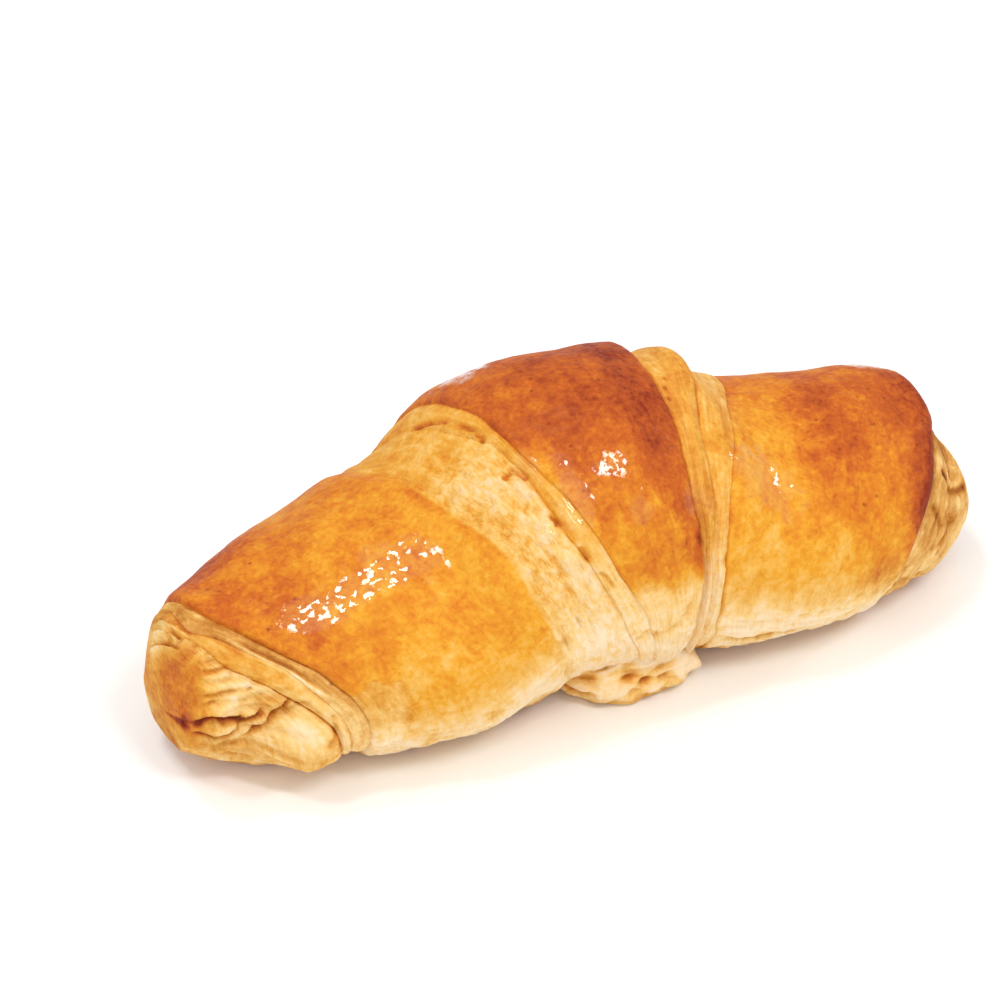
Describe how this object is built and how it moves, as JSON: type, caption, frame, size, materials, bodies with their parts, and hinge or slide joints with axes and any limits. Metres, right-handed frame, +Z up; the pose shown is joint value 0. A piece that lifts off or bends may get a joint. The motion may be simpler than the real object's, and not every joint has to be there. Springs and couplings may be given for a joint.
{
  "type": "filled crescent pastry",
  "caption": "Whole baked crescent pastry, rolled from laminated dough, with a raised crown wrap, stepped flaky bands and small rolled tips.",
  "frame": {"origin": "centre of the bounding box in plan, at the level the pastry rests on", "axes": "+X along the roll from the left tip to the right tip, -Y the front that shows the tongue, +Z up"},
  "size_m": [0.1606, 0.0634, 0.0568],
  "materials": {
    "crust": "egg-washed golden-brown baked crust with pale flaky edges"
  },
  "bodies": {
    "root": {"pastry": "crust"}
  },
  "joints": []
}
